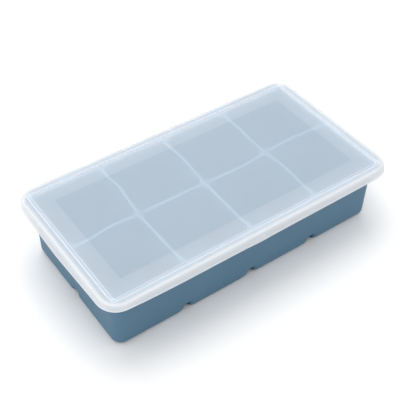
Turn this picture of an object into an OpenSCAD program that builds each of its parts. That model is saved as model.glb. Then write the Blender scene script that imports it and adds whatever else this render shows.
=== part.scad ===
// Silicone ice cube tray with eight cavities and a clear frosted lid.
// All sizes are in millimetres. X is the long way, Z is up, and the origin
// is on the table under the middle of the tray.

/* [Tray] */
// Length of the tray where its walls meet the bottom rounding
base_l = 210; // [190:1:250]
// Width of the tray where its walls meet the bottom rounding
base_w = 104; // [96:1:140]
// Height of the tray from the table to its rim
tray_h = 47.2; // [35:0.1:60]
// How far each outer wall leans out between the table and the rim
wall_lean = 0.6; // [0.2:0.1:1.5]
// Radius of the upright outside corners at the base
corner_r = 7.4; // [6:0.1:12]
// Radius of the rounded bottom edge of each cup
foot_r = 5; // [3:0.1:5]
// Thickness of the outer wall at the rim
wall_t = 2.6; // [1.8:0.1:4]

/* [Rim] */
// How far the rim flange that carries the lid stands out past the short walls
rim_out_x = 5.7; // [3:0.1:12]
// How far the rim flange stands out past the long walls
rim_out_y = 6.3; // [3:0.1:12]
// Thickness of the rim flange
rim_t = 2.6; // [1.6:0.1:4]
// Corner radius of the rim flange
rim_corner_r = 12.4; // [6:0.1:16]

/* [Cavities] */
// Number of cavities along the tray
cols = 4; // [2:1:6]
// Number of cavities across the tray
rows = 2; // [1:1:3]
// Thickness of a divider at its top
divider_t = 2.2; // [1.8:0.1:4]
// Thickness of the floor under each cavity
floor_t = 3; // [2:0.1:5]
// How far each cavity wall leans in between the rim and the floor
cavity_lean = 1.2; // [0.4:0.1:2]
// Radius of a cavity's upright corners where its wall meets the floor rounding
cavity_corner_r = 3.4; // [3.2:0.1:6]
// Radius of the rounding between a cavity's walls and its floor
cavity_floor_r = 3; // [1:0.1:3]
// Radius of the rounded top edges of the dividers and the rim
lip_r = 0.8; // [0.3:0.1:0.8]

/* [Underside] */
// Height of the gaps that part the cups underneath
gap_h = 8.2; // [6:0.1:9]
// Width of those gaps above the rounded feet
gap_w = 1.4; // [1:0.1:1.8]
// Radius of the cups' upright corners where a gap meets the outside
gap_corner_r = 5.2; // [5.1:0.1:7]
// How far the arch at a gap's mouth would rise above the gap's ceiling
mouth_lift = 0.5; // [0.3:0.1:1.5]
// Thickness of the outer wall in that arch
mouth_t = 2.4; // [1.6:0.1:4]

/* [Lid] */
// Thickness of the lid's plastic
lid_t = 1.2; // [0.8:0.1:1.8]
// Gap between the rim flange and the lid's skirt
lid_fit = 0.4; // [0.2:0.1:1]
// Outside radius of the lid's rounded shoulder
shoulder_r = 3; // [2:0.1:3.2]
// How far the shoulder stands above the panel
shoulder_rise = 0.6; // [0.2:0.1:1]
// Height of the lid from the bottom of its skirt to the shoulder
skirt_h = 5; // [4:0.1:8]
// How far the bottom lip of the skirt stands out
skirt_lip = 0.5; // [0.2:0.1:1]
// Height of that lip
skirt_lip_h = 1.2; // [0.6:0.1:1.4]
// Distance from the outside of the skirt to the inner line of the rib
rib_inset = 8.5; // [7.6:0.1:10]
// Width of the rib that runs round the panel
rib_w = 2; // [1.4:0.1:2.6]
// Height of the rib above the panel
rib_h = 0.8; // [0.3:0.1:1.2]
// Radius of the rib's inner corners in plan
rib_corner_r = 1; // [0.5:0.1:4]
// Radius of the rib's two upper edges
rib_r = 0.6; // [0.2:0.1:0.6]
// Width of the channel between the rib and the shoulder
channel_w = 0.6; // [0.3:0.1:1]
// Distance from the rib to the thinner middle of the panel
window_inset = 11.8; // [6:0.1:16]
// How much thinner the middle of the panel is
window_depth = 0.3; // [0.1:0.1:0.4]

/* [Hidden] */
$fn = 48;
over = 1;
top_l = base_l + 2 * wall_lean;
top_w = base_w + 2 * wall_lean;
top_corner_r = corner_r + wall_lean;
rim_l = top_l + 2 * rim_out_x;
rim_w = top_w + 2 * rim_out_y;
// The cavities share the room inside the outer wall at the rim
pitch_x = (top_l - 2 * wall_t + divider_t) / cols;
pitch_y = (top_w - 2 * wall_t + divider_t) / rows;
cavity_l = pitch_x - divider_t;
cavity_w = pitch_y - divider_t;
cavity_top_r = cavity_corner_r + cavity_lean;
wall_foot_z = floor_t + cavity_floor_r;
// Each cup reaches to the gaps beside it, or to the outer wall
cup_in_x = (pitch_x - gap_w) / 2;
cup_in_y = (pitch_y - gap_w) / 2;
cup_out_x = (base_l - (cols - 1) * pitch_x) / 2;
cup_out_y = (base_w - (rows - 1) * pitch_y) / 2;
// The skirt goes round the rim flange with the fit between them
skirt_in_x = rim_l / 2 + lid_fit;
skirt_in_y = rim_w / 2 + lid_fit;
lid_x = skirt_in_x + lid_t;
lid_y = skirt_in_y + lid_t;
lid_corner_r = rim_corner_r + lid_fit + lid_t;
rib_out_x = lid_x - rib_inset + rib_w;
rib_out_y = lid_y - rib_inset + rib_w;
rib_out_r = rib_corner_r + rib_w;
panel_z = tray_h;
panel_top = panel_z + lid_t;
shoulder_top = panel_top + shoulder_rise;
skirt_z = shoulder_top - skirt_h;
arc_x = lid_corner_r - shoulder_r;
arc_z = shoulder_top - shoulder_r;
window_l = 2 * (lid_x - rib_inset - window_inset);
window_w = 2 * (lid_y - rib_inset - window_inset);

// Sweeps a profile round a rectangle with round corners. In the profile X is
// the distance out from a corner's axis and Y is the height.
module sweep_round(half_x, half_y, r) {
    for (side = [0:3]) {
        along = side % 2 == 0;
        out = along ? half_x - r : half_y - r;
        run = along ? half_y - r : half_x - r;
        rotate([0, 0, 90 * side])
        translate([out, run, 0]) {
            rotate([90, 0, 0])
            linear_extrude(height = 2 * run)
            children();
            rotate_extrude(angle = 90)
            children();
        }
    }
}

// The same sweep with its middle filled between two heights
module sweep_solid(half_x, half_y, r, low, high) {
    union() {
        sweep_round(half_x, half_y, r) children();
        translate([r - half_x, r - half_y, low])
        cube([2 * (half_x - r), 2 * (half_y - r), high - low]);
    }
}

// A rectangle in the profile plane, given by its edges
module band(x1, x2, low, high) {
    translate([x1, low])
    square([x2 - x1, high - low]);
}

module disc(x, z, r) {
    translate([x, z])
    circle(r);
}

// A quarter of one of the cups that stand on the table
module cup_quarter(reach_x, reach_y, r) {
    side_x = reach_x - r;
    side_y = reach_y - r;
    translate([side_x, side_y, 0])
    rotate_extrude(angle = 90)
    foot_profile(r);
    translate([side_x, side_y, 0])
    rotate([90, 0, 0])
    linear_extrude(height = side_y)
    foot_profile(r);
    translate([0, side_y, 0])
    rotate([90, 0, 90])
    linear_extrude(height = side_x)
    foot_profile(r);
    cube([side_x, side_y, gap_h]);
}

module foot_profile(r) {
    band(0, r - foot_r, 0, gap_h);
    band(0, r, foot_r, gap_h);
    intersection() {
        disc(r - foot_r, foot_r, foot_r);
        band(0, r, 0, gap_h);
    }
}

// One cup. Each upright corner takes its own radius: wide where it is a
// corner of the tray, tighter at a gap.
module cup(col, row) {
    for (x = [0, 1], y = [0, 1]) {
        end_x = col == (x == 0 ? cols - 1 : 0);
        end_y = row == (y == 0 ? rows - 1 : 0);
        mirror([x, 0, 0])
        mirror([0, y, 0])
        cup_quarter(
            end_x ? cup_out_x : cup_in_x,
            end_y ? cup_out_y : cup_in_y,
            end_x && end_y ? corner_r : gap_corner_r
        );
    }
}

// Moves its children to the middle of one cavity
module at_cavity(col, row) {
    translate([
        (col - (cols - 1) / 2) * pitch_x,
        (row - (rows - 1) / 2) * pitch_y,
        0
    ])
    children();
}

// The arched lower edge of the outer wall over the mouth of a gap
module mouth_arch() {
    reach = gap_w / 2 + gap_corner_r + mouth_lift;
    difference() {
        translate([-reach, 0, foot_r])
        cube([2 * reach, mouth_t, gap_h - foot_r]);
        translate([0, -over, 0])
        rotate([-90, 0, 0])
        cylinder(r = gap_h + mouth_lift, h = mouth_t + 2 * over);
    }
}

module mouth_arches() {
    for (turn = [0, 180]) {
        for (gap = [1:1:cols - 1])
            rotate([0, 0, turn])
            translate([(gap - cols / 2) * pitch_x, -base_w / 2, 0])
            mouth_arch();
        for (gap = [1:1:rows - 1])
            rotate([0, 0, turn])
            translate([base_l / 2, (gap - rows / 2) * pitch_y, 0])
            rotate([0, 0, 90])
            mouth_arch();
    }
}

// The room for one ice cube, with leaning walls, a rounded floor and a
// rounded lip
module cavity() {
    half_x = cavity_l / 2;
    half_y = cavity_w / 2;
    sweep_solid(half_x, half_y, cavity_top_r, floor_t, tray_h + over) {
        band(0, cavity_corner_r - cavity_floor_r, floor_t, wall_foot_z);
        intersection() {
            disc(cavity_corner_r - cavity_floor_r, wall_foot_z, cavity_floor_r);
            band(0, cavity_corner_r, floor_t, tray_h);
        }
        polygon([
            [0, wall_foot_z],
            [cavity_corner_r, wall_foot_z],
            [cavity_top_r, tray_h - lip_r],
            [cavity_top_r, tray_h],
            [0, tray_h]
        ]);
        difference() {
            band(cavity_top_r, cavity_top_r + lip_r, tray_h - lip_r, tray_h);
            disc(cavity_top_r + lip_r, tray_h - lip_r, lip_r);
        }
        band(0, cavity_top_r + lip_r, tray_h, tray_h + over);
    }
}

module tray_body() {
    sweep_solid(top_l / 2, top_w / 2, top_corner_r, gap_h, tray_h)
    polygon([
        [0, gap_h],
        [corner_r, gap_h],
        [top_corner_r, tray_h],
        [0, tray_h]
    ]);
}

module rim_flange() {
    edge_r = rim_t / 2;
    sweep_solid(rim_l / 2, rim_w / 2, rim_corner_r, tray_h - rim_t, tray_h) {
        band(0, rim_corner_r - edge_r, tray_h - rim_t, tray_h);
        disc(rim_corner_r - edge_r, tray_h - edge_r, edge_r);
    }
}

module tray() {
    color([0.34, 0.46, 0.55])
    difference() {
        union() {
            tray_body();
            rim_flange();
            mouth_arches();
            for (col = [0:cols - 1], row = [0:rows - 1])
                at_cavity(col, row)
                cup(col, row);
        }
        for (col = [0:cols - 1], row = [0:rows - 1])
            at_cavity(col, row)
            cavity();
    }
}

// The rib that runs round the panel, with two round upper edges
module rib_profile() {
    foot = panel_top - lid_t / 2;
    round_z = panel_top + rib_h - rib_r;
    band(rib_corner_r, rib_out_r, foot, round_z);
    band(rib_corner_r + rib_r, rib_out_r - rib_r, foot, panel_top + rib_h);
    disc(rib_corner_r + rib_r, round_z, rib_r);
    disc(rib_out_r - rib_r, round_z, rib_r);
}

// The lid's section, from the panel out over the rib and the shoulder and
// down the skirt
module lid_profile() {
    step = lid_corner_r - rib_inset + rib_w + channel_w;
    difference() {
        union() {
            band(0, arc_x, skirt_z, shoulder_top);
            band(0, lid_corner_r, skirt_z, arc_z);
            disc(arc_x, arc_z, shoulder_r);
            band(0, lid_corner_r + skirt_lip, skirt_z, skirt_z + skirt_lip_h);
        }
        band(-over, arc_x, skirt_z - over, shoulder_top - lid_t);
        band(-over, lid_corner_r - lid_t, skirt_z - over, arc_z);
        disc(arc_x, arc_z, shoulder_r - lid_t);
        band(-over, step, panel_top, shoulder_top + over);
    }
    band(0, step + lid_t / 2, panel_z, panel_top);
}

module lid() {
    color([0.78, 0.85, 0.9, 0.6])
    difference() {
        union() {
            sweep_solid(lid_x, lid_y, lid_corner_r, panel_z, panel_top)
            lid_profile();
            sweep_round(rib_out_x, rib_out_y, rib_out_r)
            rib_profile();
        }
        translate([-window_l / 2, -window_w / 2, panel_z - over])
        cube([window_l, window_w, over + window_depth]);
    }
}

tray();
lid();
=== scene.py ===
"""A silicone ice cube tray with a frosted lid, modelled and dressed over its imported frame."""

import logging
import math
from dataclasses import dataclass
from enum import Enum

import bmesh
import bpy
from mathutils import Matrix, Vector


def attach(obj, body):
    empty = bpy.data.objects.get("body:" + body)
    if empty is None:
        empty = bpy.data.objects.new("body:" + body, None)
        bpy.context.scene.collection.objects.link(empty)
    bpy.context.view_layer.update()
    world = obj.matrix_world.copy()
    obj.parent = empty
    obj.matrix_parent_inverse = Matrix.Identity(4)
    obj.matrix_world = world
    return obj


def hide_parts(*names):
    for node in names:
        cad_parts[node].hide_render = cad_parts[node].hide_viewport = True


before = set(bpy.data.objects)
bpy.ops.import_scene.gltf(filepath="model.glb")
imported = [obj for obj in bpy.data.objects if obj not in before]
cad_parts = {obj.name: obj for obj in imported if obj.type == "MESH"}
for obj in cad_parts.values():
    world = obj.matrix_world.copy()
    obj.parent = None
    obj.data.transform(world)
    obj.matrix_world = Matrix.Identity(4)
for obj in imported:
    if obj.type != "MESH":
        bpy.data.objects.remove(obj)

LOG = logging.getLogger("ice_cube_tray")
MM = 0.001


class Side(Enum):
    """Which way a plate faces."""

    UP = 1
    DOWN = -1


def fade(distance: float, full: float = 6.0, gone: float = 22.0) -> float:
    """Fall smoothly from 1 to 0 as a distance grows.

    Args:
        distance: The distance in millimetres.
        full: The distance up to which the result is 1.
        gone: The distance from which it is 0.

    Returns:
        A value between 0 and 1.
    """
    t = min(max((distance - full) / (gone - full), 0), 1)
    return 1 - t * t * (3 - 2 * t)


class Bench:
    """Edit mode steps that every piece is modelled with. Sizes are in millimetres.

    An edge counts as straight from STRAIGHT times a corner's step, and as level within LEVEL of a
    height. A profile's step shorter than STILL is left out. WEIGHT is the pull of large faces on
    the normals.
    """

    STRAIGHT = 1.6
    LEVEL = 0.02
    STILL = 1e-6
    WEIGHT = 80

    @staticmethod
    def clear() -> None:
        """Leave edit mode and deselect every object."""
        if bpy.context.object and bpy.context.object.mode != "OBJECT":
            bpy.ops.object.mode_set(mode="OBJECT")
        bpy.ops.object.select_all(action="DESELECT")

    @staticmethod
    def edit(mode: str, action: str = "DESELECT") -> bmesh.types.BMesh:
        """Enter edit mode on the active object with nothing or everything selected.

        Args:
            mode: The kind of element that gets selected, VERT, EDGE or FACE.
            action: DESELECT for nothing or SELECT for everything.

        Returns:
            The edit mesh.
        """
        bpy.ops.object.mode_set(mode="EDIT")
        bpy.ops.mesh.select_mode(type=mode)
        bpy.ops.mesh.select_all(action=action)
        return bmesh.from_edit_mesh(bpy.context.object.data)

    @staticmethod
    def corner(where: Vector, radius: float, segments: int) -> None:
        """Round the corner of a flat plate that lies nearest to a place.

        Args:
            where: The X and Y of a place near the corner, in metres.
            radius: The corner's radius.
            segments: The number of straight steps in the round.
        """
        mesh = Bench.edit("VERT")
        nearest = min(mesh.verts, key=lambda vert: (vert.co.xy - where).length)
        nearest.select = True
        mesh.select_flush_mode()
        bpy.ops.mesh.bevel(
            offset=radius * MM,
            offset_type="OFFSET",
            segments=segments,
            affect="VERTICES",
            profile=0.5,
        )

    @staticmethod
    def plate(
        name: str,
        low: tuple,
        high: tuple,
        radii: list,
        z: float,
        side: Side,
        segments: int = 8,
        cuts: int = 0,
    ) -> bpy.types.Object:
        """Start a piece as a flat plate with round corners.

        Args:
            name: The name of the new object.
            low: The plate's lowest X and Y.
            high: The plate's highest X and Y.
            radii: The corner radii at low left, low right, high right and high left.
            z: The plate's height.
            side: Which way the plate faces.
            segments: The number of steps in each corner.
            cuts: How many times each straight edge is divided.

        Returns:
            The new object, active and in edit mode with its face selected.
        """
        Bench.clear()
        (x0, y0), (x1, y1) = ((x * MM, y * MM) for x, y in (low, high))
        bpy.ops.mesh.primitive_plane_add(size=1, location=((x0 + x1) / 2, (y0 + y1) / 2, z * MM))
        piece = bpy.context.object
        piece.name = piece.data.name = name
        piece.scale = (x1 - x0, y1 - y0, 1)
        bpy.ops.object.transform_apply(location=True, rotation=True, scale=True)
        corners = ((x0, y0), (x1, y0), (x1, y1), (x0, y1))
        for place, radius in zip(corners, radii, strict=True):
            Bench.corner(Vector(place), radius, segments)
        if cuts:
            mesh = Bench.edit("EDGE")
            longest = max(radii) * MM * math.pi / 2 / segments * Bench.STRAIGHT
            for edge in mesh.edges:
                edge.select = edge.calc_length() > longest
            bpy.ops.mesh.subdivide(number_cuts=cuts)
        Bench.edit("FACE", "SELECT")
        if side is Side.DOWN:
            bpy.ops.mesh.flip_normals()
        return piece

    @staticmethod
    def trace(points: list) -> None:
        """Inset the selected face again and again, so that its edge draws a profile.

        Args:
            points: Pairs of distance in from the outline and height along the face's normal.
        """
        for (in0, up0), (in1, up1) in zip(points, points[1:]):
            inward, along = in1 - in0, up1 - up0
            if abs(inward) + abs(along) > Bench.STILL:
                bpy.ops.mesh.inset(thickness=inward * MM, depth=along * MM, use_even_offset=True)

    @staticmethod
    def arc(centre: tuple, radius: float, start: float, end: float, count: int) -> list:
        """List the points of an arc in a profile.

        Args:
            centre: The arc's centre, as distance in and height.
            radius: The arc's radius.
            start: The angle of its first point in degrees.
            end: The angle of its last point in degrees.
            count: The number of steps between them.

        Returns:
            The arc's points, both ends among them.
        """
        turns = [math.radians(start + (end - start) * i / count) for i in range(count + 1)]
        return [(centre[0] + radius * math.cos(t), centre[1] + radius * math.sin(t)) for t in turns]

    @staticmethod
    def drop_face() -> None:
        """Delete the selected faces and leave their edges."""
        bpy.ops.mesh.delete(type="ONLY_FACE")

    @staticmethod
    def cut(place: tuple, normal: tuple) -> None:
        """Cut the whole mesh in two along a plane and keep both parts.

        Args:
            place: A point on the plane.
            normal: The plane's direction.
        """
        Bench.edit("FACE", "SELECT")
        point = tuple(value * MM for value in place)
        bpy.ops.mesh.bisect(plane_co=point, plane_no=normal, clear_inner=False, clear_outer=False)

    @staticmethod
    def fill_level(z: float) -> None:
        """Fill the open edges that lie at one height.

        Args:
            z: The height.
        """
        mesh = Bench.edit("EDGE")
        for edge in mesh.edges:
            level = all(abs(vert.co.z - z * MM) < Bench.LEVEL * MM for vert in edge.verts)
            edge.select = edge.is_boundary and level
        bpy.ops.mesh.fill(use_beauty=True)

    @staticmethod
    def assemble(name: str, shells: list, weld: float, levels: tuple) -> bpy.types.Object:
        """Join open shells, weld their seams and fill the flat parts between them.

        Args:
            name: The name of the joined object.
            shells: The objects to join.
            weld: How near two points have to be to become one.
            levels: The heights at which open edges get filled, in turn.

        Returns:
            The joined object, active and in edit mode.
        """
        Bench.clear()
        for shell in shells:
            shell.select_set(True)
        bpy.context.view_layer.objects.active = shells[0]
        bpy.ops.object.join()
        piece = bpy.context.object
        piece.name = piece.data.name = name
        Bench.edit("VERT", "SELECT")
        bpy.ops.mesh.remove_doubles(threshold=weld * MM)
        for level in levels:
            Bench.fill_level(level)
        return piece

    @staticmethod
    def finish(piece: bpy.types.Object, angle: float, material: bpy.types.Material) -> None:
        """Turn a closed mesh outwards, smooth it and dress it.

        Args:
            piece: The object.
            angle: The angle in degrees up to which its edges are smooth.
            material: The object's only material.
        """
        Bench.clear()
        piece.select_set(True)
        bpy.context.view_layer.objects.active = piece
        Bench.edit("FACE", "SELECT")
        bpy.ops.mesh.normals_make_consistent(inside=False)
        mesh = bmesh.from_edit_mesh(piece.data)
        loose = sum(1 for edge in mesh.edges if not edge.is_manifold)
        bpy.ops.object.mode_set(mode="OBJECT")
        bpy.ops.object.shade_smooth_by_angle(angle=math.radians(angle))
        weighted = piece.modifiers.new("even_normals", "WEIGHTED_NORMAL")
        weighted.keep_sharp = True
        weighted.weight = Bench.WEIGHT
        bpy.ops.object.modifier_apply(modifier=weighted.name)
        piece.select_set(False)
        piece.data.materials.clear()
        piece.data.materials.append(material)
        LOG.info("%s: %d faces, %d open edges", piece.name, len(piece.data.polygons), loose)


@dataclass(frozen=True)
class Wave:
    """How far a soft edge bows along its length, in millimetres, at a few places."""

    points: tuple

    def at(self, place: float) -> float:
        """Read the bow at one place, on a smooth curve through the points.

        Args:
            place: The place along the edge in millimetres.

        Returns:
            The bow in millimetres.
        """
        pts = self.points
        if place <= pts[0][0]:
            return pts[0][1]
        if place >= pts[-1][0]:
            return pts[-1][1]
        i = max(k for k in range(len(pts) - 1) if pts[k][0] <= place)
        (x0, y0), (x1, y1) = pts[i], pts[i + 1]
        before = pts[i - 1] if i else (2 * x0 - x1, y0)
        after = pts[i + 2] if i + 2 < len(pts) else (2 * x1 - x0, y1)
        slope0 = (y1 - before[1]) / (x1 - before[0])
        slope1 = (after[1] - y0) / (after[0] - x0)
        span = x1 - x0
        t = (place - x0) / span
        rise = (2 * t**3 - 3 * t**2 + 1) * y0 + (t**3 - 2 * t**2 + t) * span * slope0
        return rise + (3 * t**2 - 2 * t**3) * y1 + (t**3 - t**2) * span * slope1


class Sockets:
    """Short ways to add and join shader nodes."""

    def __init__(self, tree: bpy.types.NodeTree) -> None:
        """Empty a node tree and start on it.

        Args:
            tree: The node tree.
        """
        self.tree = tree
        tree.nodes.clear()

    @classmethod
    def material(cls, name: str) -> tuple:
        """Add a material without nodes.

        Args:
            name: The material's name.

        Returns:
            The material and its sockets.
        """
        material = bpy.data.materials.new(name)
        material.use_nodes = True
        return material, cls(material.node_tree)

    def add(self, kind: str, **values: object) -> bpy.types.Node:
        """Add a node.

        Args:
            kind: The node's type.
            values: Its settings, or values for the inputs of those names.

        Returns:
            The new node.
        """
        node = self.tree.nodes.new(kind)
        for name, value in values.items():
            if hasattr(node, name):
                setattr(node, name, value)
            else:
                node.inputs[name.replace("_", " ")].default_value = value
        return node

    def join(self, source: bpy.types.NodeSocket, target: bpy.types.NodeSocket) -> None:
        """Link one socket to another.

        Args:
            source: The output.
            target: The input.
        """
        self.tree.links.new(source, target)

    def coordinates(self, kind: str = "Object") -> bpy.types.NodeSocket:
        """Add texture coordinates.

        Args:
            kind: Which coordinates they are.

        Returns:
            Their output.
        """
        return self.add("ShaderNodeTexCoord").outputs[kind]

    def axes(self, place: bpy.types.NodeSocket) -> bpy.types.Node:
        """Split a place into its coordinates.

        Args:
            place: The socket to read.

        Returns:
            A node with the outputs X, Y and Z.
        """
        split = self.add("ShaderNodeSeparateXYZ")
        self.join(place, split.inputs[0])
        return split

    def math(self, operation: str, first: object, second: object = None) -> bpy.types.NodeSocket:
        """Add a Math node.

        Args:
            operation: What the node does.
            first: A socket or a number.
            second: A socket, a number or nothing.

        Returns:
            The node's output.
        """
        node = self.add("ShaderNodeMath", operation=operation)
        for index, value in enumerate((first, second)):
            if isinstance(value, bpy.types.NodeSocket):
                self.join(value, node.inputs[index])
            elif value is not None:
                node.inputs[index].default_value = value
        return node.outputs[0]

    def product(self, *factors: bpy.types.NodeSocket) -> bpy.types.NodeSocket:
        """Multiply values.

        Args:
            factors: The sockets to multiply.

        Returns:
            Their product.
        """
        result = factors[0]
        for factor in factors[1:]:
            result = self.math("MULTIPLY", result, factor)
        return result

    def ramp(
        self, value: bpy.types.NodeSocket, low: float, high: float, to_low: float, to_high: float
    ) -> bpy.types.NodeSocket:
        """Map a value smoothly from one range to another.

        Args:
            value: The socket to read.
            low: The value that gives to_low.
            high: The value that gives to_high.
            to_low: The result at low.
            to_high: The result at high.

        Returns:
            The mapped value.
        """
        node = self.add("ShaderNodeMapRange", interpolation_type="SMOOTHSTEP")
        self.join(value, node.inputs["Value"])
        limits = {"From Min": low, "From Max": high, "To Min": to_low, "To Max": to_high}
        for name, number in limits.items():
            node.inputs[name].default_value = number
        return node.outputs["Result"]

    def above(self, value: bpy.types.NodeSocket, limit: tuple) -> bpy.types.NodeSocket:
        """Mask the places where a value is above a soft limit.

        Args:
            value: The socket to read.
            limit: The values at which the mask is 0 and 1.

        Returns:
            The mask.
        """
        return self.ramp(value, *limit, 0.0, 1.0)

    def below(self, value: bpy.types.NodeSocket, limit: tuple) -> bpy.types.NodeSocket:
        """Mask the places where a value is below a soft limit.

        Args:
            value: The socket to read.
            limit: The values at which the mask is 1 and 0.

        Returns:
            The mask.
        """
        return self.ramp(value, *limit, 1.0, 0.0)

    def mix(self, factor: object, first: object, second: object) -> bpy.types.NodeSocket:
        """Mix two colours.

        Args:
            factor: A socket or a number.
            first: The colour at factor 0, as a socket or four numbers.
            second: The colour at factor 1.

        Returns:
            The mixed colour.
        """
        node = self.add("ShaderNodeMix", data_type="RGBA")
        for index, value in ((0, factor), (6, first), (7, second)):
            if isinstance(value, bpy.types.NodeSocket):
                self.join(value, node.inputs[index])
            else:
                node.inputs[index].default_value = value
        return node.outputs[2]

    def by_ray(
        self, kind: str, others: bpy.types.NodeSocket, chosen: bpy.types.NodeSocket
    ) -> bpy.types.NodeSocket:
        """Show one kind of ray a shader of its own.

        Args:
            kind: The Light Path output that tells the rays.
            others: The shader for all other rays.
            chosen: The shader for those rays.

        Returns:
            The mixed shader.
        """
        mix = self.add("ShaderNodeMixShader")
        path = self.add("ShaderNodeLightPath")
        for index, source in enumerate((path.outputs[kind], others, chosen)):
            self.join(source, mix.inputs[index])
        return mix.outputs[0]


@dataclass(frozen=True)
class MouldedSkin:
    """The fine grain and slow mottle of a moulded surface.

    Grain and mottle are texture scales, bump and depth those of the grain's relief, and the
    roughness goes from its first to its second value with the mottle.
    """

    grain: float
    mottle: float
    bump: float
    depth: float
    roughness: tuple

    @staticmethod
    def group() -> bpy.types.NodeTree:
        """Build the shader group that the materials share, once.

        Returns:
            The node group, with outputs Height and Mottle.
        """
        name = "moulded_skin"
        tree = bpy.data.node_groups.get(name)
        if tree:
            return tree
        tree = bpy.data.node_groups.new(name, "ShaderNodeTree")
        for label in ("Grain Scale", "Mottle Scale"):
            tree.interface.new_socket(label, in_out="INPUT", socket_type="NodeSocketFloat")
        for label in ("Height", "Mottle"):
            tree.interface.new_socket(label, in_out="OUTPUT", socket_type="NodeSocketFloat")
        sockets = Sockets(tree)
        inputs = sockets.add("NodeGroupInput")
        outputs = sockets.add("NodeGroupOutput")
        place = sockets.coordinates()
        grain = sockets.add("ShaderNodeTexNoise", Detail=3.0, Roughness=0.6)
        mottle = sockets.add("ShaderNodeTexNoise", Detail=2.0, Roughness=0.5)
        for node, label in ((grain, "Grain Scale"), (mottle, "Mottle Scale")):
            sockets.join(place, node.inputs["Vector"])
            sockets.join(inputs.outputs[label], node.inputs["Scale"])
        sockets.join(grain.outputs["Fac"], outputs.inputs["Height"])
        sockets.join(sockets.above(mottle.outputs["Fac"], (0.3, 0.7)), outputs.inputs["Mottle"])
        return tree

    def dress(self, sockets: Sockets, shader: bpy.types.Node) -> bpy.types.NodeSocket:
        """Give a shader the skin's roughness and relief.

        Args:
            sockets: The material's nodes.
            shader: The material's surface shader.

        Returns:
            The mottle, from 0 to 1.
        """
        skin = sockets.add("ShaderNodeGroup")
        skin.node_tree = self.group()
        skin.inputs["Grain Scale"].default_value = self.grain
        skin.inputs["Mottle Scale"].default_value = self.mottle
        rough = sockets.ramp(skin.outputs["Mottle"], 0.0, 1.0, *self.roughness)
        sockets.join(rough, shader.inputs["Roughness"])
        bump = sockets.add("ShaderNodeBump", Strength=self.bump, Distance=self.depth)
        sockets.join(skin.outputs["Height"], bump.inputs["Height"])
        sockets.join(bump.outputs["Normal"], shader.inputs["Normal"])
        return skin.outputs["Mottle"]


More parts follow.
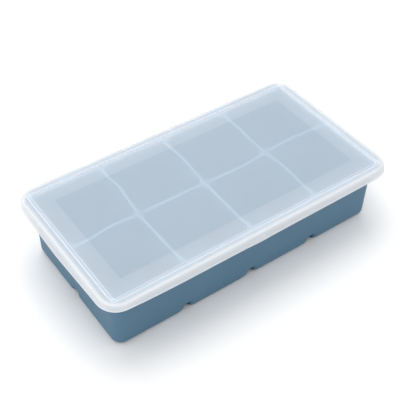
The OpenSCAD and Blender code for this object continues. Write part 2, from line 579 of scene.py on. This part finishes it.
@dataclass(frozen=True)
class BlueSilicone:
    """Matte, slightly soft blue silicone, with a painted sheen on the divider lips and painted
    shade in the slots.

    The masks are soft limits in metres, measured on the tray from its middle and its foot.
    """

    base: tuple = (0.0885, 0.192, 0.290, 1.0)
    pale: tuple = (0.099, 0.206, 0.306, 1.0)
    # The lip colour below is a painted sheen, for the light that the dividers' rounded tops catch.
    lip_sheen_colour: tuple = (0.33, 0.40, 0.46, 1.0)
    # The slot colour below is painted shade, for the slot walls that little light reaches.
    shade: tuple = (0.022, 0.045, 0.066, 1.0)
    skin: MouldedSkin = MouldedSkin(2600.0, 38.0, 0.12, 0.00012, (0.49, 0.56))
    specular: float = 0.28
    sheen: float = 0.05
    sheen_roughness: float = 0.5
    pitch: float = 0.052
    lip_z: tuple = (0.0464, 0.0468)
    lip_x: tuple = (0.1022, 0.1038)
    lip_y: tuple = (0.0492, 0.0508)
    crossing: tuple = (0.0016, 0.0050)
    crossing_share: float = 0.30
    slot_z: tuple = (0.0084, 0.0092)
    slot_foot: tuple = (0.0004, 0.0034)
    slot_half: tuple = (0.0020, 0.0044)
    wall_x: tuple = (0.1038, 0.1046)
    wall_y: tuple = (0.0508, 0.0516)

    def build(self) -> bpy.types.Material:
        """Make the material.

        Returns:
            The material.
        """
        material, sockets = Sockets.material("blue_silicone")
        out = sockets.add("ShaderNodeOutputMaterial")
        shader = sockets.add(
            "ShaderNodeBsdfPrincipled",
            Specular_IOR_Level=self.specular,
            Sheen_Weight=self.sheen,
            Sheen_Roughness=self.sheen_roughness,
        )
        body = sockets.mix(self.skin.dress(sockets, shader), self.base, self.pale)
        where = self.measure(sockets)
        # Painted shade on the slot walls between the cups.
        body = sockets.mix(self.slots(sockets, *where), body, self.shade)
        # Painted sheen on the lips of the dividers.
        body = sockets.mix(self.lips(sockets, *where), body, self.lip_sheen_colour)
        sockets.join(body, shader.inputs["Base Color"])
        sockets.join(shader.outputs["BSDF"], out.inputs["Surface"])
        return material

    def measure(self, sockets: Sockets) -> tuple:
        """Measure where a place lies on the tray.

        Args:
            sockets: The material's nodes.

        Returns:
            The distances from the middle along X and Y, the distance along X from the nearest
            cross divider or end wall, and the height.
        """
        split = sockets.axes(sockets.coordinates())
        far_x, far_y = (sockets.math("ABSOLUTE", split.outputs[axis]) for axis in "XY")
        along = sockets.math("PINGPONG", split.outputs["X"], self.pitch)
        near_x = sockets.math("MINIMUM", along, sockets.math("SUBTRACT", self.pitch, along))
        return far_x, far_y, near_x, split.outputs["Z"]

    def slots(
        self,
        sockets: Sockets,
        far_x: bpy.types.NodeSocket,
        far_y: bpy.types.NodeSocket,
        near_x: bpy.types.NodeSocket,
        z: bpy.types.NodeSocket,
    ) -> bpy.types.NodeSocket:
        """Find the walls of the slots between the cups, where shade is painted because little light
        reaches them.

        Args:
            sockets: The material's nodes.
            far_x: The distance from the middle along X.
            far_y: The distance from the middle along Y.
            near_x: The distance along X from the nearest cross divider or end wall.
            z: The height.

        Returns:
            A mask that is 1 inside the slots, where the painted shade goes.
        """
        # The end walls stand two pitches out and have no cross slot.
        within_ends = sockets.math("LESS_THAN", far_x, 1.5 * self.pitch)
        across = sockets.product(
            sockets.below(near_x, self.slot_half), sockets.below(far_y, self.wall_y), within_ends
        )
        lengthwise = sockets.product(
            sockets.below(far_y, self.slot_half), sockets.below(far_x, self.wall_x)
        )
        low = sockets.product(sockets.below(z, self.slot_z), sockets.above(z, self.slot_foot))
        return sockets.product(low, sockets.math("MAXIMUM", across, lengthwise))

    def lips(
        self,
        sockets: Sockets,
        far_x: bpy.types.NodeSocket,
        far_y: bpy.types.NodeSocket,
        near_x: bpy.types.NodeSocket,
        z: bpy.types.NodeSocket,
    ) -> bpy.types.NodeSocket:
        """Find the top edges of the dividers, where a pale sheen is painted into the colour.

        Args:
            sockets: The material's nodes.
            far_x: The distance from the middle along X.
            far_y: The distance from the middle along Y.
            near_x: The distance along X from the nearest cross divider or end wall.
            z: The height.

        Returns:
            A mask of the painted sheen, 1 on those edges and lower where they cross.
        """
        mask = sockets.product(
            sockets.above(z, self.lip_z),
            sockets.below(far_x, self.lip_x),
            sockets.below(far_y, self.lip_y),
        )
        squares = [sockets.math("POWER", side, 2.0) for side in (near_x, far_y)]
        reach = sockets.math("POWER", sockets.math("ADD", *squares), 0.5)
        return sockets.product(mask, sockets.ramp(reach, *self.crossing, self.crossing_share, 1.0))


@dataclass(frozen=True)
class FrostedPlastic:
    """Translucent frosted plastic, clearer where it is thinner, with painted highlights along the
    rib and the shoulder.

    The zones are measured outwards from the rib's inner line, in metres, each with a colour and an
    alpha. The whiter, more solid zones on the rib's two edges and on the shoulder's rounding are
    painted highlights. The last two meet at the end of the span, so that the lip beyond it is
    nearly solid. The half sizes and the corner are those of the lid's outline, and the border is
    the distance from the outline to the rib's inner line.
    """

    half_x: float
    half_y: float
    corner: float
    border: float
    zones: tuple = (
        (-0.0119, (0.67, 0.79, 0.90), 0.465),
        (-0.0113, (0.735, 0.835, 0.93), 0.49),
        (-0.0004, (0.745, 0.84, 0.93), 0.51),
        # Painted highlight along the rib's inner edge.
        (0.0, (0.95, 0.97, 1.0), 0.80),
        (0.0003, (0.95, 0.97, 1.0), 0.80),
        (0.0008, (0.73, 0.825, 0.92), 0.50),
        (0.0015, (0.73, 0.825, 0.92), 0.50),
        # Painted highlight along the rib's outer edge.
        (0.0019, (0.95, 0.97, 1.0), 0.78),
        (0.0022, (0.95, 0.97, 1.0), 0.78),
        (0.0027, (0.81, 0.885, 0.955), 0.51),
        (0.0036, (0.82, 0.89, 0.95), 0.50),
        (0.0046, (0.86, 0.915, 0.96), 0.53),
        # Painted highlight on the shoulder's rounding, brightest at the next zone.
        (0.0057, (0.94, 0.96, 0.98), 0.66),
        (0.0066, (0.97, 0.975, 0.98), 0.78),
        (0.0075, (0.90, 0.925, 0.95), 0.70),
        (0.0086, (0.89, 0.91, 0.935), 0.80),
        (0.0092, (0.95, 0.96, 0.97), 0.96),
        (0.0092, (0.99, 0.99, 0.99), 1.0),
    )
    span: tuple = (-0.0130, 0.0092)
    seam: float = 0.0026
    rib_corner: float = 0.0020
    rib_width: float = 0.0020
    skin: MouldedSkin = MouldedSkin(1500.0, 24.0, 0.1, 0.00008, (0.31, 0.37))
    transmission: float = 0.25
    refraction: float = 1.4
    shadow_tint: tuple = (0.8, 0.83, 0.86, 1.0)

    def build(self) -> bpy.types.Material:
        """Make the material.

        Returns:
            The material.
        """
        material, sockets = Sockets.material("frosted_plastic")
        out = sockets.add("ShaderNodeOutputMaterial")
        shader = sockets.add(
            "ShaderNodeBsdfPrincipled", IOR=self.refraction, Transmission_Weight=self.transmission
        )
        self.skin.dress(sockets, shader)
        zone = self.zone_ramp(sockets)
        sockets.join(zone.outputs["Color"], shader.inputs["Base Color"])
        sockets.join(zone.outputs["Alpha"], shader.inputs["Alpha"])
        see_through = sockets.add("ShaderNodeBsdfTransparent", Color=self.shadow_tint)
        surface = sockets.by_ray(
            "Is Shadow Ray", shader.outputs["BSDF"], see_through.outputs["BSDF"]
        )
        sockets.join(surface, out.inputs["Surface"])
        return material

    @staticmethod
    def ring(
        sockets: Sockets, split: bpy.types.Node, half_x: float, half_y: float, corner: float
    ) -> bpy.types.NodeSocket:
        """Measure the distance outwards from a rectangle with round corners.

        Args:
            sockets: The material's nodes.
            split: The place on the lid, split into its coordinates.
            half_x: Half of the rectangle's length.
            half_y: Half of the rectangle's width.
            corner: The radius of its corners.

        Returns:
            The distance, below 0 inside the rectangle.
        """
        arm = sockets.add("ShaderNodeCombineXYZ")
        past = []
        for axis, half in (("X", half_x), ("Y", half_y)):
            far = sockets.math("ABSOLUTE", split.outputs[axis])
            away = sockets.math("SUBTRACT", far, half - corner)
            sockets.join(sockets.math("MAXIMUM", away, 0.0), arm.inputs[axis])
            past.append(away)
        length = sockets.add("ShaderNodeVectorMath", operation="LENGTH")
        sockets.join(arm.outputs[0], length.inputs[0])
        inside = sockets.math("MINIMUM", sockets.math("MAXIMUM", *past), 0.0)
        reach = sockets.math("ADD", length.outputs["Value"], inside)
        return sockets.math("SUBTRACT", reach, corner)

    def zone_ramp(self, sockets: Sockets) -> bpy.types.Node:
        """Look the colour and alpha of each zone up by the distance from the rib's inner line.

        Near the rib the zones run parallel to the rib, and beyond the seam to the outline.

        Args:
            sockets: The material's nodes.

        Returns:
            The colour ramp.
        """
        split = sockets.axes(sockets.coordinates())
        inset = self.border - self.rib_width
        rib_half = (self.half_x - inset, self.half_y - inset)
        near_rib = self.ring(sockets, split, *rib_half, self.rib_corner)
        near_rib = sockets.math("ADD", near_rib, self.rib_width)
        near_edge = self.ring(sockets, split, self.half_x, self.half_y, self.corner)
        near_edge = sockets.math("ADD", near_edge, self.border)
        outer = sockets.math("GREATER_THAN", near_rib, self.seam)
        step = sockets.product(outer, sockets.math("SUBTRACT", near_edge, near_rib))
        distance = sockets.math("ADD", near_rib, step)
        low, high = self.span
        place = sockets.math("DIVIDE", sockets.math("SUBTRACT", distance, low), high - low)
        ramp = sockets.add("ShaderNodeValToRGB")
        sockets.join(place, ramp.inputs[0])
        marks = ramp.color_ramp.elements
        while len(marks) < len(self.zones):
            marks.new(0.5)
        for mark, (where, colour, alpha) in zip(marks, self.zones, strict=True):
            mark.position = (where - low) / (high - low)
            mark.color = (*colour, alpha)
        return ramp


@dataclass
class Tray:
    """The blue silicone tray with its rim, cavities, cups and notches, in millimetres."""

    columns: int = 4
    rows: int = 2
    base_x: float = 105.0
    base_y: float = 52.0
    height: float = 47.12
    lean: float = 0.6
    corner: float = 7.4
    rim_x: float = 111.3
    rim_y: float = 58.9
    rim_corner: float = 12.4
    rim_t: float = 2.6
    pitch_x: float = 52.05
    pitch_y: float = 51.1
    divider: float = 2.2
    divider_cuts: int = 11
    floor: float = 3.0
    cavity_lean: float = 1.2
    cavity_corner: float = 4.6
    wall_shares: tuple = (0.12, 0.26, 0.42, 0.6, 0.8, 1.0)
    floor_round: float = 3.0
    lip: float = 0.8
    land: float = 0.15
    gap: float = 1.4
    gap_height: float = 8.2
    gap_corner: float = 5.2
    foot: float = 5.0
    mouth: float = 8.7
    touch: float = 0.05
    weld: float = 0.04
    smooth_angle: float = 42
    still_wall: float = 1.8
    still_floor: float = 0.5
    still_cup: float = 0.1
    bow_from: float = 12.0
    bow_power: float = 1.4
    held_line: float = 2.0
    held_reach: tuple = (3.0, 10.0)
    held_long: float = 0.5
    held_cross: float = 0.3
    long_wave: Wave = Wave(
        ((-100, -1.5), (-90, -0.9), (-75, 1.1), (-55, 0.2), (-25, -0.2), (8, -0.6))
        + ((23, -1.7), (44, -0.2), (60, 1.4), (77, 2.4), (95, 1.3))
    )
    cross_waves: tuple = (
        Wave(
            ((-42, -1.9), (-21, -2.2), (-8, -2.3), (0, -1.8), (12, -0.9), (23, 0.5))
            + ((30, 1.2), (41, 0.2))
        ),
        Wave(
            ((-45, -2.8), (-20, -2.6), (-4, -2.5), (8, -1.7), (17, -1.0), (25, -0.1))
            + ((34, -0.1), (47, -1.6))
        ),
        Wave(
            ((-45, -1.8), (-32, -1.1), (-21, -0.1), (-10, -0.9), (2, -2.0), (17, -2.0))
            + ((23, -1.7), (31, -0.6), (47, -1.5))
        ),
    )

    @property
    def partings(self) -> tuple:
        """The places along X where two columns meet."""
        return (-self.pitch_x, 0, self.pitch_x)

    @property
    def mouth_half(self) -> float:
        """Half of the width of a slot's mouth, with the round corners beside it."""
        return self.gap / 2 + self.gap_corner

    def cavity(self, column: int, row: int) -> bpy.types.Object:
        """Model one cavity from its lip down to its floor.

        Args:
            column: The cavity's place along the tray, from 0.
            row: The cavity's place across the tray, from 0.

        Returns:
            The cavity's inner skin, open at the rim.
        """
        x = (column - (self.columns - 1) / 2) * self.pitch_x
        y = (row - (self.rows - 1) / 2) * self.pitch_y
        half_x = (self.pitch_x - self.divider) / 2 + self.lip + self.land
        half_y = (self.pitch_y - self.divider) / 2 + self.lip + self.land
        piece = Bench.plate(
            f"cavity_{column}_{row}",
            (x - half_x, y - half_y),
            (x + half_x, y + half_y),
            [self.cavity_corner + self.lip + self.land] * 4,
            self.height,
            Side.UP,
            cuts=self.divider_cuts,
        )
        lip = self.lip
        wall_foot = self.floor + self.floor_round
        points = [(0, self.height)]
        points += [(self.land + a, b) for a, b in Bench.arc((0, self.height - lip), lip, 90, 0, 4)]
        for share in self.wall_shares:
            z = self.height - lip + (wall_foot - self.height + lip) * share
            points.append((self.land + lip + self.cavity_lean * share, z))
        deep = self.land + lip + self.cavity_lean + self.floor_round
        Bench.trace(points + Bench.arc((deep, wall_foot), self.floor_round, 180, 270, 6)[1:])
        return piece

    def cup(self, column: int, row: int) -> bpy.types.Object:
        """Model one of the cups that stand on the table.

        Args:
            column: The cup's place along the tray, from 0.
            row: The cup's place across the tray, from 0.

        Returns:
            The cup's outer skin, open at the top of the slots.
        """
        ends_x, ends_y = (column == 0, column == self.columns - 1), (row == 0, row == self.rows - 1)
        left, half_gap = column - self.columns / 2, self.gap / 2
        x0 = -self.base_x if ends_x[0] else left * self.pitch_x + half_gap
        x1 = self.base_x if ends_x[1] else (left + 1) * self.pitch_x - half_gap
        y0 = -self.base_y if ends_y[0] else half_gap
        y1 = self.base_y if ends_y[1] else -half_gap
        radii = [
            self.corner if ends_x[i] and ends_y[j] else self.gap_corner
            for i, j in ((0, 0), (1, 0), (1, 1), (0, 1))
        ]
        name = f"cup_{column}_{row}"
        piece = Bench.plate(name, (x0, y0), (x1, y1), radii, self.gap_height, Side.DOWN)
        wall = self.gap_height - self.foot
        curve = Bench.arc((0, wall), self.foot, 0, 90, 8)[1:]
        Bench.trace([(0, 0), (0, wall), *((self.foot - a, b) for a, b in curve)])
        return piece

    def outer_wall(self) -> bpy.types.Object:
        """Model the leaning outer wall, cut where the cups' round corners end.

        Returns:
            The wall, open at both ends.
        """
        top = self.height - self.rim_t
        share = (top - self.gap_height) / (self.height - self.gap_height)
        lean = self.lean * share
        x, y = self.base_x + lean, self.base_y + lean
        radii = [self.corner + lean] * 4
        piece = Bench.plate("outer_wall", (-x, -y), (x, y), radii, top, Side.DOWN)
        Bench.trace([(0, 0), (lean, top - self.gap_height)])
        Bench.drop_face()
        offsets = [-self.mouth_half, *range(-5, 6), self.mouth_half]
        for middle in self.partings:
            for offset in offsets:
                Bench.cut((middle + offset, 0, 0), (1, 0, 0))
        for offset in offsets:
            Bench.cut((0, offset, 0), (0, 1, 0))
        return piece

    def rim(self) -> list:
        """Model the flange's round edge as an upper and a lower half.

        Returns:
            The two halves, each open at its inner edge.
        """
        edge = self.rim_t / 2
        low, high = (-self.rim_x, -self.rim_y), (self.rim_x, self.rim_y)
        halves = []
        for side in Side:
            radii = [self.rim_corner] * 4
            piece = Bench.plate(f"rim_{side.name}", low, high, radii, self.height - edge, side)
            curve = [(edge - a, b) for a, b in Bench.arc((0, 0), edge, 0, 90, 5)]
            Bench.trace([*curve, (edge + 2 * self.land, edge)])
            Bench.drop_face()
            halves.append(piece)
        return halves

    def arch_mouths(self, piece: bpy.types.Object) -> None:
        """Lower the wall's edge at each slot into an arch.

        Args:
            piece: The joined tray.
        """
        mesh = Bench.edit("VERT")
        for vert in mesh.verts:
            x, y, z = (value / MM for value in vert.co)
            if abs(z - self.gap_height) > self.touch:
                continue
            if abs(abs(y) - self.base_y) < self.touch:
                away = min(abs(x - middle) for middle in self.partings)
            elif abs(abs(x) - self.base_x) < self.touch:
                away = abs(y)
            else:
                continue
            if away < self.mouth_half + self.touch:
                arch = math.sqrt(max(self.mouth**2 - away**2, 0))
                vert.co.z = max(min(arch, self.gap_height), self.foot) * MM
        bmesh.update_edit_mesh(piece.data)

    def bow_dividers(self, piece: bpy.types.Object) -> None:
        """Bow the tops of the soft dividers, fading towards the floor and the middles.

        Args:
            piece: The joined tray.
        """
        mesh = Bench.edit("VERT")
        for vert in mesh.verts:
            x, y, z = (value / MM for value in vert.co)
            if self.is_still(x, y, z):
                continue
            up = min(max((z - self.bow_from) / (self.height - self.bow_from), 0), 1)
            up **= self.bow_power
            held = fade(self.base_x - self.held_line - abs(x), *self.held_reach)
            move_y = self.long_wave.at(x) * fade(abs(y)) * up * (1 - self.held_long * held)
            held = fade(self.base_y - self.held_line - abs(y), *self.held_reach)
            move_x = 0.0
            for middle, wave in zip(self.partings, self.cross_waves, strict=True):
                move_x += wave.at(y) * fade(abs(x - middle)) * up * (1 - self.held_cross * held)
            vert.co.x += move_x * MM
            vert.co.y += move_y * MM
        bmesh.update_edit_mesh(piece.data)

    def is_still(self, x: float, y: float, z: float) -> bool:
        """Tell whether a place lies on the outer wall, the floors or a slot.

        Args:
            x: The place along the tray.
            y: The place across the tray.
            z: The height.

        Returns:
            True where the dividers' bow moves nothing.
        """
        if abs(x) > self.base_x - self.still_wall or abs(y) > self.base_y - self.still_wall:
            return True
        if z < self.floor + self.still_floor:
            return True
        width = self.mouth_half + self.still_cup
        beside = abs(y) < width or min(abs(x - middle) for middle in self.partings) < width
        return beside and z < self.gap_height + self.still_cup

    def build(self, finish: BlueSilicone) -> bpy.types.Object:
        """Model the whole tray and dress it.

        Args:
            finish: The silicone.

        Returns:
            The finished tray.
        """
        cells = [(column, row) for column in range(self.columns) for row in range(self.rows)]
        shells = [self.outer_wall(), *self.rim()]
        shells += [self.cavity(*cell) for cell in cells] + [self.cup(*cell) for cell in cells]
        levels = (self.height, self.height - self.rim_t, self.gap_height)
        piece = Bench.assemble("silicone_tray", shells, self.weld, levels)
        self.arch_mouths(piece)
        self.bow_dividers(piece)
        Bench.finish(piece, self.smooth_angle, finish.build())
        return piece


@dataclass
class Lid:
    """The frosted lid with its skirt, shoulder, rib and panel, in millimetres.

    The tuples of points are pairs of distance in from the outline and height over the lip's top,
    the lid's foot, the crest or the seat.
    """

    half_x: float = 113.4
    half_y: float = 61.0
    corner: float = 14.5
    corner_steps: int = 10
    edge_cuts: int = 47
    bottom: float = 43.6
    panel: float = 48.4
    thickness: float = 1.2
    shoulder_rise: float = 0.6
    shoulder: float = 3.0
    crest_fall: tuple = ((4.2, -0.05), (4.9, -0.16), (5.6, -0.30), (6.3, -0.43))
    seat_fall: tuple = ((4.3, 0.53), (5.2, 0.36), (6.2, 0.16))
    bend: float = 0.3
    flare: float = 0.5
    flare_height: float = 1.2
    lip_start: float = 0.4
    lip_outside: tuple = ((0.0, -0.35), (0.1, -0.1), (0.3, 0.0))
    lip_under: tuple = ((0.1, 0.1), (0.4, 0.0))
    lip_round: float = 0.2
    rib_in: float = 9.0
    rib_width: float = 2.0
    rib_height: float = 0.8
    rib_round: float = 0.72
    rib_corner: float = 1.0
    rib_lap: float = 0.05
    rib_foot: float = 0.06
    rib_toe: float = 0.08
    channel: float = 0.6
    window_inset: float = 11.8
    window_depth: float = 0.3
    window_slope: float = 0.4
    window_flat: float = 0.5
    window_corner: float = 1.2
    weld: float = 0.005
    smooth_angle: float = 38
    hang_from: float = 1.5
    hang_reach: tuple = (2.5, 9.0)
    pad: float = 0.4
    pad_x: float = -4.0
    pad_reach: tuple = (3.0, 8.0)
    pad_skin: float = 1.0
    pad_foot: float = 1.3
    left_wave: Wave = Wave(
        ((-54, -1.2), (-44, -0.9), (-30, 0.1), (-20, 0.8), (-10, 1.6), (4, 2.4))
        + ((15, 1.8), (28, 1.0), (45, 0.3))
    )
    front_wave: Wave = Wave(
        ((-108, -1.3), (-100, -1.7), (-90, -1.0), (-78, -0.3), (-60, 0.2), (-14, 0.5))
        + ((-2, 1.1), (10, 0.8), (40, 0.6), (100, 0.3))
    )

    def top_points(self) -> list:
        """List the outside profile from the flared lip to the channel beside the rib.

        Returns:
            Pairs of distance in from the outline and height.
        """
        crest = self.panel + self.shoulder_rise
        inner = self.rib_in - self.rib_width - self.channel
        lip_top = self.bottom + self.flare_height
        points = [(0.0, self.bottom + self.lip_start)]
        points += [(inward, lip_top + up) for inward, up in self.lip_outside]
        points += [(self.flare, lip_top + self.bend)]
        points += [(self.flare, crest - self.shoulder - self.bend)]
        centre = (self.flare + self.shoulder, crest - self.shoulder)
        points += Bench.arc(centre, self.shoulder, 180, 90, 9)
        points += [(inward, crest + up) for inward, up in self.crest_fall]
        # The slope ends at the rib's foot, and the last two points lie back under it.
        points += [(self.rib_in - self.rib_width, self.panel + 0.09)]
        points += [(inner - 0.3, self.panel + 0.03), (inner + 0.1, self.panel)]
        return points

    def under_points(self) -> list:
        """List the inside profile from the flared lip to the middle of the panel.

        Returns:
            Pairs of distance in from the outline and height.
        """
        crest = self.panel + self.shoulder_rise
        wall = self.flare + self.thickness
        seat = self.panel - self.thickness
        inner = self.rib_in - self.rib_width - self.channel - self.thickness / 2
        points = [(0.0, self.bottom + self.lip_start)]
        points += [(inward, self.bottom + up) for inward, up in self.lip_under]
        points += [(wall - self.lip_round, self.bottom), (wall, self.bottom + self.lip_round)]
        points += [(wall, crest - self.shoulder - self.bend)]
        centre = (self.flare + self.shoulder, crest - self.shoulder)
        points += Bench.arc(centre, self.shoulder - self.thickness, 180, 90, 6)
        points += [(inward, seat + up) for inward, up in self.seat_fall]
        points += [(inner - 0.2, seat + 0.03), (inner + 0.6, seat)]
        return points

    def rib(self) -> bpy.types.Object:
        """Model the rib and the panel inside it.

        Returns:
            The rib with its panel, open at the rib's outer foot.
        """
        outer = self.rib_in - self.rib_width
        start = outer - self.rib_lap
        foot = self.panel + self.rib_foot
        top = self.panel + self.rib_height
        r = self.rib_round
        points = [(start, self.panel), (outer, foot)]
        points += Bench.arc((outer + r, top - r), r, 180, 90, 4)
        points += Bench.arc((self.rib_in - r, top - r), r, 90, 0, 4)
        points += [(self.rib_in, foot), (self.rib_in + self.rib_toe, self.panel)]
        x, y = self.half_x - start, self.half_y - start
        radii = [self.rib_corner + self.rib_width + self.rib_lap] * 4
        piece = Bench.plate("lid_rib", (-x, -y), (x, y), radii, self.panel, Side.UP)
        Bench.trace(points)
        return piece

    def recess(self) -> bpy.types.Object:
        """Model the shallow recess under the middle of the panel.

        Returns:
            The recess, open at its edge.
        """
        slope, depth = self.window_slope, self.window_depth
        edge = self.rib_in + self.window_inset - slope
        x, y = self.half_x - edge, self.half_y - edge
        radii = [self.window_corner] * 4
        seat = self.panel - self.thickness
        piece = Bench.plate("lid_recess", (-x, -y), (x, y), radii, seat, Side.DOWN, segments=4)
        Bench.trace([(0, 0), (slope, -depth), (slope + self.window_flat, -depth)])
        return piece

    def settle(self, piece: bpy.types.Object) -> None:
        """Let the soft skirt hang, lift and swell a little as the photograph shows.

        Args:
            piece: The joined lid.
        """
        mesh = Bench.edit("VERT")
        top = self.panel - self.hang_from
        for vert in mesh.verts:
            x, y, z = (value / MM for value in vert.co)
            low = min(max((top - z) / (top - self.bottom), 0), 1)
            left = fade(x + self.half_x, *self.hang_reach)
            front = fade(y + self.half_y, *self.hang_reach)
            drop = self.left_wave.at(y) * left + self.front_wave.at(x) * front
            vert.co.z -= drop / max(left + front, 1) * low * MM
            if y < self.pad_skin - self.half_y and self.bottom + self.pad_foot < z < top:
                vert.co.y -= self.pad * fade(abs(x - self.pad_x), *self.pad_reach) * MM
        bmesh.update_edit_mesh(piece.data)

    def build(self, finish: FrostedPlastic) -> bpy.types.Object:
        """Model the lid as an upper and a lower skin, join them and dress the lid.

        Args:
            finish: The frosted plastic.

        Returns:
            The finished lid.
        """
        shells = []
        low, high = (-self.half_x, -self.half_y), (self.half_x, self.half_y)
        for side, points in ((Side.UP, self.top_points()), (Side.DOWN, self.under_points())):
            piece = Bench.plate(
                f"lid_{side.name}",
                low,
                high,
                [self.corner] * 4,
                points[0][1],
                side,
                self.corner_steps,
                self.edge_cuts,
            )
            Bench.trace([(inward, height * side.value) for inward, height in points])
            Bench.drop_face()
            shells.append(piece)
        shells += [self.rib(), self.recess()]
        levels = (self.panel, self.panel - self.thickness)
        piece = Bench.assemble("frosted_lid", shells, self.weld, levels)
        self.settle(piece)
        Bench.finish(piece, self.smooth_angle, finish.build())
        return piece


@dataclass
class Studio:
    """The pale floor, the lamp, the air and the camera, in metres."""

    camera_place: tuple = (-0.24972, -0.33226, 0.43641)
    camera_turn: tuple = (45.578, -0.801, -35.519)
    lens: float = 76.703
    sensor: float = 36.0
    clip: tuple = (0.01, 20.0)
    floor_size: float = 12.0
    floor_z: float = -0.0002
    white: tuple = (1.0, 1.0, 1.0, 1.0)
    floor_bounce: tuple = (0.86, 0.86, 0.86, 1.0)
    lamp_place: tuple = (0.1, 0.5, 1.3)
    lamp_aim: tuple = (0.0, 0.0, 0.02)
    lamp_size: float = 1.0
    lamp_watts: float = 6.5
    sky: tuple = (0.50, 0.95)
    window: tuple = (-0.74, -0.20, 0.64)
    window_edge: tuple = (0.4, 1.0)
    window_light: float = 0.35

    def camera(self) -> None:
        """Set the camera at the photograph's place and angle."""
        data = bpy.data.cameras.new("photo_camera")
        data.lens = self.lens
        data.sensor_width = self.sensor
        data.sensor_fit = "HORIZONTAL"
        data.clip_start, data.clip_end = self.clip
        camera = bpy.data.objects.new("photo_camera", data)
        camera.location = self.camera_place
        camera.rotation_euler = tuple(math.radians(turn) for turn in self.camera_turn)
        bpy.context.scene.collection.objects.link(camera)
        bpy.context.scene.camera = camera

    def lamp(self) -> None:
        """Hang a soft square lamp behind and above the tray, turned to the tray."""
        data = bpy.data.lights.new("top_lamp", "AREA")
        data.shape, data.size, data.energy = "SQUARE", self.lamp_size, self.lamp_watts
        lamp = bpy.data.objects.new("top_lamp", data)
        lamp.location = self.lamp_place
        aim = Vector(self.lamp_aim) - Vector(self.lamp_place)
        lamp.rotation_euler = aim.to_track_quat("-Z", "Y").to_euler()
        bpy.context.scene.collection.objects.link(lamp)

    def backdrop(self) -> None:
        """Lay a wide pale floor that looks white to the camera and keeps the shadow."""
        Bench.clear()
        bpy.ops.mesh.primitive_plane_add(size=self.floor_size, location=(0, 0, self.floor_z))
        floor = bpy.context.object
        floor.name = "studio_floor"
        material, sockets = Sockets.material("studio_floor")
        out = sockets.add("ShaderNodeOutputMaterial")
        paper = sockets.add("ShaderNodeBsdfDiffuse")
        path = sockets.add("ShaderNodeLightPath").outputs
        seen = sockets.math("MAXIMUM", path["Is Camera Ray"], path["Is Transmission Ray"])
        tint = sockets.mix(seen, self.floor_bounce, self.white)
        sockets.join(tint, paper.inputs["Color"])
        sockets.join(paper.outputs[0], out.inputs["Surface"])
        floor.data.materials.append(material)
        floor.select_set(False)

    def air(self) -> None:
        """Light the scene from all round, more from above and from the front left.

        The camera itself sees plain white there.
        """
        world = bpy.data.worlds.new("studio_air")
        world.use_nodes = True
        sockets = Sockets(world.node_tree)
        out = sockets.add("ShaderNodeOutputWorld")
        way = sockets.coordinates("Generated")
        facing = sockets.add("ShaderNodeVectorMath", operation="DOT_PRODUCT")
        sockets.join(way, facing.inputs[0])
        facing.inputs[1].default_value = self.window
        glow = sockets.ramp(facing.outputs["Value"], *self.window_edge, 0.0, self.window_light)
        sky = sockets.ramp(sockets.axes(way).outputs["Z"], 0.0, 1.0, *self.sky)
        light = sockets.add("ShaderNodeBackground", Color=self.white)
        sockets.join(sockets.math("ADD", sky, glow), light.inputs["Strength"])
        seen = sockets.add("ShaderNodeBackground", Color=self.white, Strength=1.0)
        shown = sockets.by_ray("Is Camera Ray", light.outputs[0], seen.outputs[0])
        sockets.join(shown, out.inputs["Surface"])
        bpy.context.scene.world = world

    def build(self) -> None:
        """Set up the whole studio."""
        self.camera()
        self.backdrop()
        self.air()
        self.lamp()
        bpy.context.scene.view_settings.view_transform = "Standard"


def main() -> None:
    """Build the pieces, hang them on the root body in place of their parts, and set up the studio.
    """
    logging.basicConfig(level=logging.INFO, format="%(message)s")
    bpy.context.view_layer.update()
    tray = Tray().build(BlueSilicone())
    lid_size = Lid()
    outline = (lid_size.half_x, lid_size.half_y, lid_size.corner, lid_size.rib_in)
    lid = lid_size.build(FrostedPlastic(*(value * MM for value in outline)))
    for piece, node, slot in ((tray, "tray", "blue_silicone"), (lid, "lid", "frosted_plastic")):
        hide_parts(node)
        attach(piece, "root")
        LOG.info("%s stands for %s", piece.name, node)
    Studio().build()


if __name__ == "__main__":
    main()
